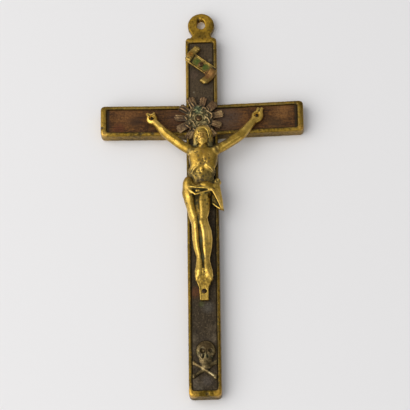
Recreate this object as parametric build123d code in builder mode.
from build123d import *
import os
from math import asin, atan2, cos, degrees, radians, sin, tan

# A hanging crucifix: a cast brass tray in the form of a cross, inlaid with dark wood, with cast ornaments
# riveted on. It stands upright, seen along +Y: +X is the viewer's right, +Z is up.
# The back lies on y = 0 and the origin is on the axis of the hanging eye. Sizes are in millimetres.
# A depth is measured from the back towards the viewer.

# Tray: the cross with its raised rim and its floor
upright_length = 128.0
upright_width = 10.6
arms_span = 68.0
arms_width = 10.7
arms_drop = 30.55
tray_depth = 4.6
floor_thickness = 1.4
side_rim = 1.15
end_rim = 2.0
rim_height = 0.45
outer_corner = 0.9
inner_corner = 0.4
rim_round = 0.3

# Hanging eye on its neck above the tray
eye_radius = 4.4
eye_bore_radius = 1.6
eye_thickness = 2.8
eye_rise = 5.5
eye_flare = 0.4
neck_base_width = 8.5
neck_top_width = 5.0
neck_round = 1.2

# Wood strips in the tray
wood_gap = 0.15
wood_joint = 0.08
wood_round = 0.15

# Rivets, each peened over in a countersink at the back
shank_radius = 0.6
drill_clearance = 0.05
tail_radius = 1.0
tail_depth = 0.45
pin_head_radius = 0.85
pin_head_height = 0.3
dome_head_radius = 0.95
dome_head_height = 0.5

# Figure: its share of the upright below the arms, and how that length is parted from the arms' middle down
figure_share = 0.666
shoulder_part = 12.1
chest_part = 3.1
waist_part = 5.6
hip_part = 4.9
thigh_part = 14.1
shin_part = 12.2
foot_part = 6.6
rivet_part = 3.3
tab_part = 3.0
head_part = 8.2

# Figure: how far its middle stands to the viewer's right of the upright's middle
head_shift = 0.3
chest_shift = 0.3
waist_shift = -0.3
hip_shift = -0.75
leg_shift = -1.6
thigh_shift = -1.65
knee_shift = -1.05
calf_shift = -0.5
foot_shift = 0.15

# Figure: widths, and reliefs in front of the rim
head_width = 5.6
head_height = 7.6
head_relief = 3.7
head_tilt = 7.0
hair_top_width = 4.0
hair_middle_width = 7.2
hair_width = 8.0
hair_end_width = 6.4
hair_relief = 3.4
hair_length = 6.4
beard_radius = 1.15
beard_tip_radius = 0.5
beard_length = 2.1
neck_width = 3.8
neck_length = 1.55
neck_relief = 2.8
shoulder_width = 8.6
shoulder_relief = 3.0
chest_width = 8.9
chest_relief = 3.7
waist_width = 8.3
waist_relief = 2.9

# Arms and hands
left_reach = 16.7
right_reach = 18.45
hand_rise = 0.4
elbow_sag = 0.4
upper_arm_sag = 0.5
upper_arm_share = 0.2
elbow_share = 0.42
forearm_share = 0.6
shoulder_radius = 2.1
upper_arm_radius = 1.75
elbow_radius = 1.4
forearm_radius = 1.5
wrist_radius = 1.0
joint_swell = 0.1
arm_relief = 1.65
wrist_relief = 1.05
wrist_length = 3.0
heel_length = 1.4
hand_length = 5.4
hand_width = 3.5
hand_thickness = 1.3
hand_offset = 0.4

# Loincloth, its knot and its hanging end
cloth_top_width = 9.4
cloth_width = 11.8
cloth_hem_width = 9.4
cloth_top_relief = 3.5
cloth_relief = 4.1
cloth_rise = 2.4
cloth_fall = 2.8
knot_radius = 1.4
knot_rise = 1.5
knot_reach = 5.9
drape_width = 3.4
drape_tip_reach = 1.4
drape_fall = 9.4
drape_short_fall = 7.4
drape_thickness = 1.7

# Legs and the rest under the feet
hip_radius = 2.1
thigh_radius = 1.65
knee_radius = 1.3
calf_radius = 1.3
ankle_radius = 0.8
instep_radius = 0.95
toe_radius = 0.8
hip_spread = 4.6
thigh_spread = 4.55
knee_spread = 3.4
calf_spread = 3.65
ankle_spread = 3.0
toe_spread = 5.2
hip_depth = 1.7
knee_depth = 2.8
ankle_depth = 1.6
toe_depth = 1.7
rest_width = 4.8
rest_height = 3.6
rest_relief = 2.4
tab_width = 3.0
tab_thickness = 1.4

# Titulus: a sloping ribbon whose two ends are folded over
titulus_drop = 10.5
titulus_slope = -38.5
ribbon_length = 11.0
ribbon_width = 4.3
ribbon_thickness = 0.6
fold_length = 5.6
fold_radius = 1.1
fold_tip_radius = 0.75

# Glory: clusters of rays round a wreath
glory_shift = -0.9
glory_radius = 8.3
ray_clusters = 11
ray_phase = 11.6
cluster_angle = 26.0
notch_depth = 0.9
notch_share = 0.55
core_radius = 4.8
ray_thickness = 0.7
wreath_radius = 3.2
wreath_cord = 0.7
glory_clearance = 0.15

# Skull and crossbones near the foot of the upright
skull_shift = 0.3
skull_rise = 14.8
skull_width = 6.3
skull_height = 8.4
skull_relief = 1.4
crown_width = 2.8
crown_relief = 0.7
brow_rise = 1.0
cheek_width = 5.0
cheek_drop = 2.1
jaw_width = 3.4
jaw_relief = 1.1
jaw_length = 2.6
chin_width = 2.4
socket_radius = 0.85
socket_spacing = 2.4
bones_rise = 9.1
bone_margin = 0.45
bone_slope = 35.0
bone_radius = 0.55
bone_end_radius = 0.8
peg_radius = 0.45
peg_length = 1.6

# Levels and places worked out from the sizes above
tray_top = -eye_rise
tray_bottom = tray_top - upright_length
upright_middle = (tray_top + tray_bottom) / 2
arms_level = tray_top - arms_drop
neck_root = tray_top - end_rim / 2
wood_front = tray_depth - rim_height
wood_thickness = wood_front - floor_thickness
pocket_width = upright_width - 2 * side_rim
pocket_length = upright_length - 2 * end_rim
pocket_span = arms_span - 2 * end_rim
pocket_height = arms_width - 2 * side_rim
hole_radius = shank_radius + drill_clearance
tail_taper = degrees(atan2(tail_radius - shank_radius, tail_depth))

figure_length = figure_share * (arms_level - tray_bottom)
upper_parts = shoulder_part + chest_part + waist_part + hip_part
lower_parts = thigh_part + shin_part + foot_part + rivet_part + tab_part
one_part = figure_length / (upper_parts + lower_parts)
head_level = arms_level - head_part * one_part
shoulder_level = arms_level - shoulder_part * one_part
chest_level = shoulder_level - chest_part * one_part
waist_level = chest_level - waist_part * one_part
hip_level = waist_level - hip_part * one_part
knee_level = hip_level - thigh_part * one_part
ankle_level = knee_level - shin_part * one_part
toe_level = ankle_level - foot_part * one_part
foot_rivet_level = toe_level - rivet_part * one_part
tab_end = foot_rivet_level - tab_part * one_part
skull_level = tray_bottom + skull_rise
bones_level = tray_bottom + bones_rise

left_hand = (-left_reach, arms_level + hand_rise)
right_hand = (right_reach, arms_level + hand_rise)
foot_place = (foot_shift, foot_rivet_level)
titulus_place = (0, tray_top - titulus_drop)
glory_place = (glory_shift, arms_level)
upright_rivets = [titulus_place, glory_place, foot_place]
rivet_places = [left_hand, right_hand, *upright_rivets]

ribbon_front = tray_depth + ribbon_thickness
glory_front = tray_depth + ray_thickness
hand_front = wood_front + hand_thickness
tab_front = wood_front + tab_thickness


def front(depth):
    """The plane that faces the viewer at a depth from the back."""
    return Plane.XZ.offset(depth)


def cross_outline(width, length, span, height, corner):
    """The outline of a cross about the upright's middle, with its eight end corners rounded."""
    with BuildSketch() as outline:
        with Locations((0, upright_middle)):
            Rectangle(width, length)
        with Locations((0, arms_level)):
            Rectangle(span, height)
        across = outline.vertices().group_by(Axis.X)
        along = outline.vertices().group_by(Axis.Y)
        fillet(across[0] + across[-1] + along[0] + along[-1], corner)
    return outline.sketch


def oval(level, middle, width, relief, base=tray_depth):
    """A level oval section that stands its relief in front of the base depth."""
    with BuildSketch(Plane.XY.offset(level)) as section:
        with Locations((middle, -base)):
            Ellipse(width / 2, relief)
    return section.sketch


def rounds(points, radii):
    """Round sections along a limb, each square to the line between its neighbours."""
    sections = []
    for index, (point, radius) in enumerate(zip(points, radii)):
        before = Vector(points[max(index - 1, 0)])
        after = Vector(points[min(index + 1, len(points) - 1)])
        with BuildSketch(Plane(point, x_dir=(0, -1, 0), z_dir=after - before)) as section:
            Circle(radius)
        sections.append(section.sketch)
    return sections


def rivet(place, seat, head_radius, head_height):
    """A rivet that bears on the seat's depth and fills its countersink at the back."""
    ball = (head_radius**2 + head_height**2) / (2 * head_height)
    half_turn = asin(min(head_radius / ball, 1)) / 2
    shoulder = (ball * sin(half_turn), -seat - head_height + ball * (1 - cos(half_turn)))
    axis_plane = Plane((place[0], 0, place[1]), x_dir=(1, 0, 0), z_dir=(0, 0, 1))
    with BuildPart() as pin:
        with BuildSketch(axis_plane):
            with BuildLine():
                Polyline((0, -seat - head_height), (0, 0), (tail_radius, 0), (shank_radius, -tail_depth),
                         (shank_radius, -seat), (head_radius, -seat))
                ThreePointArc((head_radius, -seat), shoulder, (0, -seat - head_height))
            make_face()
        revolve(axis=Axis((place[0], 0, place[1]), (0, 1, 0)))
    return pin.part


# Tray with its pocket, eye and rivet holes
with BuildPart() as cross_frame:
    with BuildSketch(front(0)):
        add(cross_outline(upright_width, upright_length, arms_span, arms_width, outer_corner))
    extrude(amount=tray_depth)
    with BuildSketch(front(floor_thickness)):
        add(cross_outline(pocket_width, pocket_length, pocket_span, pocket_height, inner_corner))
    extrude(amount=tray_depth - floor_thickness, mode=Mode.SUBTRACT)
    rim = cross_frame.faces().sort_by(Axis.Y)[0]
    fillet(rim.edges(), rim_round)
    with BuildSketch(front(0)) as eye_outline:
        Circle(eye_radius)
        with BuildLine():
            Polyline((-neck_base_width / 2, neck_root), (neck_base_width / 2, neck_root),
                     (neck_base_width / 2, tray_top), (neck_top_width / 2, 0),
                     (-neck_top_width / 2, 0), (-neck_base_width / 2, tray_top), close=True)
        make_face()
        throat = eye_outline.vertices().sort_by(Axis.Y)[4:6]
        fillet(throat, neck_round)
    extrude(amount=eye_thickness)
    with BuildSketch(front(0)):
        Circle(eye_bore_radius)
    extrude(amount=eye_thickness, mode=Mode.SUBTRACT)
    bore_edges = cross_frame.edges(Select.LAST).filter_by(GeomType.CIRCLE)
    chamfer(bore_edges.sort_by(Axis.Y)[0], eye_flare)
    with BuildSketch(front(0)):
        with Locations(*rivet_places):
            Circle(hole_radius)
    extrude(amount=floor_thickness, mode=Mode.SUBTRACT)
    with BuildSketch(front(0)):
        with Locations(*rivet_places):
            Circle(tail_radius + drill_clearance)
    extrude(amount=tail_depth, taper=tail_taper, mode=Mode.SUBTRACT)
cross_frame.part.label = "cross_frame"

# Wood strip of the upright, with a blind hole for the skull's peg
strip_width = pocket_width - 2 * wood_gap
with BuildPart() as upright_inlay:
    with BuildSketch(front(floor_thickness)) as strip_outline:
        with Locations((0, upright_middle)):
            Rectangle(strip_width, pocket_length - 2 * wood_gap)
        fillet(strip_outline.vertices(), inner_corner)
    extrude(amount=wood_thickness)
    fillet(upright_inlay.faces().sort_by(Axis.Y)[0].edges(), wood_round)
    with BuildSketch(front(floor_thickness)):
        with Locations(*upright_rivets):
            Circle(hole_radius)
    extrude(amount=wood_thickness, mode=Mode.SUBTRACT)
    with BuildSketch(front(wood_front)):
        with Locations((skull_shift, skull_level)):
            Circle(peg_radius + drill_clearance)
    extrude(amount=-peg_length - drill_clearance, mode=Mode.SUBTRACT)
upright_inlay.part.label = "upright_inlay"

# Wood strips of the arms, butted against the upright strip
arm_inner = strip_width / 2 + wood_joint
arm_outer = pocket_span / 2 - wood_gap
arm_inlays = {}
for name, side, hand in [("left_arm_inlay", -1, left_hand), ("right_arm_inlay", 1, right_hand)]:
    with BuildPart() as arm_inlay:
        with BuildSketch(front(floor_thickness)) as strip_outline:
            with Locations((side * (arm_inner + arm_outer) / 2, arms_level)):
                Rectangle(arm_outer - arm_inner, pocket_height - 2 * wood_gap)
            outer_end = strip_outline.vertices().sort_by(Axis.X)
            fillet(outer_end[:2] if side < 0 else outer_end[-2:], inner_corner)
        extrude(amount=wood_thickness)
        fillet(arm_inlay.faces().sort_by(Axis.Y)[0].edges(), wood_round)
        with BuildSketch(front(floor_thickness)):
            with Locations(hand):
                Circle(hole_radius)
        extrude(amount=wood_thickness, mode=Mode.SUBTRACT)
    arm_inlay.part.label = name
    arm_inlays[name] = arm_inlay.part

# Rest under the feet with the fixing tab below it, thicker towards the feet
rest_top = toe_level + rest_height
rest_front = tab_front + rest_relief
rest_side = foot_shift + rest_width / 2
tab_side = foot_shift + tab_width / 2
with BuildPart() as foot_rest:
    with BuildSketch(front(wood_front)):
        with BuildLine():
            Polyline((foot_shift, tab_end), (tab_side, tab_end), (tab_side, foot_rivet_level),
                     (rest_side, toe_level), (rest_side, rest_top), (foot_shift, rest_top), close=True)
        make_face()
        mirror(about=Plane.YZ.offset(foot_shift))
    extrude(amount=tab_thickness + rest_relief)
    with BuildSketch(Plane.YZ.offset(foot_shift)):
        with BuildLine():
            Polyline((-wood_front, tab_end), (-tab_front, tab_end),
                     (-tab_front, foot_rivet_level + pin_head_radius),
                     (-rest_front, toe_level + rest_height / 2),
                     (-tab_front, rest_top), (-wood_front, rest_top), close=True)
        make_face()
    extrude(amount=rest_width, both=True, mode=Mode.INTERSECT)

# Figure: a casting with a flat back on the rim, its hands and its tab let down to the wood
head_middle = Vector(head_shift, -tray_depth - head_relief, head_level)
head_axis = Vector(sin(radians(head_tilt)), 0, cos(radians(head_tilt)))
head_across = Vector(cos(radians(head_tilt)), 0, -sin(radians(head_tilt)))
head_plane = Plane(head_middle, x_dir=head_across, z_dir=(0, -1, 0))
chin = head_middle - head_axis * (head_height / 2)
hair_top = head_level + head_height / 2 - rim_height
hair_end = head_level - hair_length / 2
shoulder_half = (shoulder_width - shoulder_radius) / 2
hip_joint = hip_level - cloth_fall / 2
thigh_level = (hip_joint + knee_level) / 2
thigh_depth = (hip_depth + knee_depth) / 2
calf_level = (knee_level + ankle_level) / 2
calf_depth = (knee_depth + ankle_depth) / 2
instep_level = (ankle_level + toe_level) / 2
toe_reach = toe_spread / 2 - toe_radius
instep_reach = (ankle_spread / 2 + toe_reach) / 2
knot_place = Vector(hip_shift + knot_reach, -tray_depth - knot_radius, hip_level + knot_rise)
with BuildPart() as corpus:
    loft([
        oval(shoulder_level + neck_length, head_shift, neck_width, neck_relief),
        oval(shoulder_level, chest_shift, shoulder_width, shoulder_relief),
        oval(chest_level, chest_shift, chest_width, chest_relief),
        oval(waist_level, waist_shift, waist_width, waist_relief),
        oval(hip_level, hip_shift, waist_width, waist_relief),
    ])
    loft([
        oval(hip_level + cloth_rise, hip_shift, cloth_top_width, cloth_top_relief),
        oval(hip_level, hip_shift, cloth_width, cloth_relief),
        oval(hip_level - cloth_fall, hip_shift, cloth_hem_width, cloth_relief),
    ])
    for side, hand in [(-1, left_hand), (1, right_hand)]:
        shoulder = Vector(chest_shift + side * shoulder_half, -tray_depth - arm_relief, shoulder_level)
        palm = Vector(hand[0], -tray_depth - wrist_relief, hand[1])
        along = (palm - shoulder).normalized()
        reach = palm - shoulder
        sag = Vector(side * elbow_sag, 0, -elbow_sag)
        elbow = shoulder + reach * elbow_share + sag
        upper_arm = shoulder + reach * upper_arm_share + Vector(0, 0, -upper_arm_sag)
        forearm = shoulder + reach * forearm_share + sag
        loft(rounds([shoulder, upper_arm, elbow], [shoulder_radius, upper_arm_radius, elbow_radius]))
        loft(rounds([elbow, forearm, palm - along * wrist_length, palm - along * heel_length],
                    [elbow_radius, forearm_radius, wrist_radius, wrist_radius]))
        hip = Vector(leg_shift + side * hip_spread / 2, -tray_depth - hip_depth, hip_joint)
        thigh = Vector(thigh_shift + side * thigh_spread / 2, -tray_depth - thigh_depth, thigh_level)
        knee = Vector(knee_shift + side * knee_spread / 2, -tray_depth - knee_depth, knee_level)
        calf = Vector(calf_shift + side * calf_spread / 2, -tray_depth - calf_depth, calf_level)
        ankle = Vector(foot_shift + side * ankle_spread / 2, -tray_depth - ankle_depth, ankle_level)
        instep = Vector(foot_shift + side * instep_reach, -tray_depth - toe_depth, instep_level)
        toe = Vector(foot_shift + side * toe_reach, -tray_depth - toe_depth, toe_level)
        loft(rounds([hip, thigh, knee], [hip_radius, thigh_radius, knee_radius]))
        loft(rounds([knee, calf, ankle], [knee_radius, calf_radius, ankle_radius]))
        loft(rounds([ankle, instep, toe], [ankle_radius, instep_radius, toe_radius]))
        with Locations(elbow):
            Sphere(elbow_radius + joint_swell)
        with Locations(knee):
            Sphere(knee_radius + joint_swell)
        with Locations(ankle):
            Sphere(ankle_radius + joint_swell)
        with Locations(toe):
            Sphere(toe_radius + joint_swell)
    with BuildSketch(head_plane):
        Ellipse(head_width / 2, head_height / 2)
        split(bisect_by=Plane.YZ)
    revolve(axis=Axis(head_middle, head_axis))
    loft([
        oval(hair_top, head_shift, hair_top_width, hair_relief),
        oval(head_level, head_shift, hair_middle_width, hair_relief),
        oval(hair_end, head_shift, hair_width, hair_relief),
        oval(shoulder_level, head_shift, hair_end_width, shoulder_relief),
    ])
    loft(rounds([chin + head_axis * beard_length, chin, chin - head_axis * (beard_length / 2)],
                [beard_radius, beard_radius, beard_tip_radius]))
    with Locations(knot_place):
        Sphere(knot_radius)
    with BuildSketch(front(tray_depth)):
        with BuildLine():
            Polyline((knot_place.X - drape_width, hip_level), (knot_place.X, knot_place.Z),
                     (knot_place.X + drape_tip_reach, knot_place.Z - drape_fall),
                     (knot_place.X - drape_width / 2, knot_place.Z - drape_short_fall), close=True)
        make_face()
    extrude(amount=drape_thickness)
    split(bisect_by=front(tray_depth))
    for hand, pull in [(left_hand, -1), (right_hand, 1)]:
        slope = degrees(atan2(hand[1] - shoulder_level, abs(hand[0]) - shoulder_half))
        with BuildSketch(front(wood_front)):
            with Locations(Location((hand[0], hand[1], 0), (0, 0, pull * slope))):
                with Locations((pull * hand_offset, 0)):
                    SlotOverall(hand_length, hand_width)
        extrude(amount=hand_thickness)
    add(foot_rest.part)
    with BuildSketch(front(tray_depth)):
        with Locations(glory_place):
            Circle(glory_radius + glory_clearance)
    extrude(amount=ray_thickness + glory_clearance, mode=Mode.SUBTRACT)
    with BuildSketch(front(tray_depth)):
        with Locations(glory_place):
            Circle(wreath_radius + wreath_cord + glory_clearance)
    extrude(amount=head_width + head_relief, mode=Mode.SUBTRACT)
    with BuildSketch(front(wood_front)):
        with Locations(left_hand, right_hand, foot_place):
            Circle(hole_radius)
    extrude(amount=hand_thickness + tab_thickness, mode=Mode.SUBTRACT)
corpus.part.label = "corpus"

# Titulus ribbon, sloping down to the right, with its left end folded up and its right end folded down
ribbon_slope = radians(titulus_slope)
ribbon_plane = Plane((titulus_place[0], -tray_depth, titulus_place[1]),
                     x_dir=(cos(ribbon_slope), 0, sin(ribbon_slope)), z_dir=(0, -1, 0))
with BuildPart() as titulus_scroll:
    with BuildSketch(ribbon_plane):
        Rectangle(ribbon_length, ribbon_width)
    extrude(amount=ribbon_thickness)
    for side in (-1, 1):
        fold_line = side * (ribbon_length - fold_radius) / 2
        fold_start = side * (ribbon_width / 2 - fold_radius)
        fold_end = fold_start - side * fold_length
        loft(rounds([ribbon_plane.from_local_coords((fold_line, fold_start, 0)),
                     ribbon_plane.from_local_coords((fold_line, fold_end, 0))],
                    [fold_radius, fold_tip_radius]))
    split(bisect_by=front(tray_depth))
    with BuildSketch(ribbon_plane):
        Circle(hole_radius)
    extrude(amount=ribbon_thickness, mode=Mode.SUBTRACT)
titulus_scroll.part.label = "titulus_scroll"

# Glory: notched clusters of rays round a disc that carries the wreath
half_cluster = radians(cluster_angle) / 2
ray_ends = [(-1, 0), (-notch_share, notch_depth), (0, 0), (notch_share, notch_depth), (1, 0)]
cluster_points = [(core_radius * cos(half_cluster) / 2, -core_radius * sin(half_cluster) / 2)]
for share, shortfall in ray_ends:
    ray_length = glory_radius - shortfall
    cluster_points.append((ray_length * cos(share * half_cluster), ray_length * sin(share * half_cluster)))
cluster_points.append((core_radius * cos(half_cluster) / 2, core_radius * sin(half_cluster) / 2))
with BuildPart() as glory:
    with BuildSketch(front(tray_depth)):
        with Locations(glory_place):
            Circle(core_radius)
            with PolarLocations(0, ray_clusters, start_angle=ray_phase):
                Polygon(*cluster_points, align=None)
    extrude(amount=ray_thickness)
    with Locations(Plane((glory_place[0], -glory_front, glory_place[1]), z_dir=(0, -1, 0))):
        Torus(wreath_radius, wreath_cord)
    split(bisect_by=front(tray_depth))
    with BuildSketch(front(tray_depth)):
        with Locations(glory_place):
            Circle(hole_radius)
    extrude(amount=ray_thickness, mode=Mode.SUBTRACT)
glory.part.label = "glory"

# Skull over crossed bones, on the wood, with a peg behind it
skull_top = skull_level + skull_height / 2
jaw_level = skull_level - skull_height / 2
bone_reach = pocket_width / 2 - bone_margin - bone_end_radius
bone_rise = bone_reach * tan(radians(bone_slope))
with BuildPart() as skull_and_crossbones:
    loft([
        oval(skull_top, skull_shift, crown_width, crown_relief, wood_front),
        oval(skull_level + brow_rise, skull_shift, skull_width, skull_relief, wood_front),
        oval(skull_level - cheek_drop, skull_shift, cheek_width, skull_relief, wood_front),
        oval(jaw_level, skull_shift, jaw_width, jaw_relief, wood_front),
    ])
    loft([
        oval(jaw_level, skull_shift, jaw_width, jaw_relief, wood_front),
        oval(jaw_level - jaw_length, skull_shift, chin_width, jaw_relief, wood_front),
    ])
    for side in (-1, 1):
        with Locations((skull_shift + side * socket_spacing / 2, -wood_front - skull_relief, skull_level)):
            Sphere(socket_radius, mode=Mode.SUBTRACT)
    for side in (-1, 1):
        bone_ends = [(-bone_reach, -wood_front - bone_radius / 2, bones_level - side * bone_rise),
                     (bone_reach, -wood_front - bone_radius / 2, bones_level + side * bone_rise)]
        loft(rounds(bone_ends, [bone_radius, bone_radius]))
        with Locations(*bone_ends):
            Sphere(bone_end_radius)
    split(bisect_by=front(wood_front))
    with BuildSketch(front(wood_front)):
        with Locations((skull_shift, skull_level)):
            Circle(peg_radius)
    extrude(amount=-peg_length)
skull_and_crossbones.part.label = "skull_and_crossbones"

# Rivets
rivets = {
    "left_hand_rivet": rivet(left_hand, hand_front, pin_head_radius, pin_head_height),
    "right_hand_rivet": rivet(right_hand, hand_front, pin_head_radius, pin_head_height),
    "foot_rivet": rivet(foot_place, tab_front, pin_head_radius, pin_head_height),
    "titulus_rivet": rivet(titulus_place, ribbon_front, pin_head_radius, pin_head_height),
    "glory_rivet": rivet(glory_place, glory_front, dome_head_radius, dome_head_height),
}
for name, pin in rivets.items():
    pin.label = name

# One file for each piece
os.makedirs("parts", exist_ok=True)
castings = [cross_frame, upright_inlay, corpus, titulus_scroll, glory, skull_and_crossbones]
pieces = [casting.part for casting in castings] + list(arm_inlays.values()) + list(rivets.values())
for piece in pieces:
    export_step(piece, f"parts/{piece.label}.step")
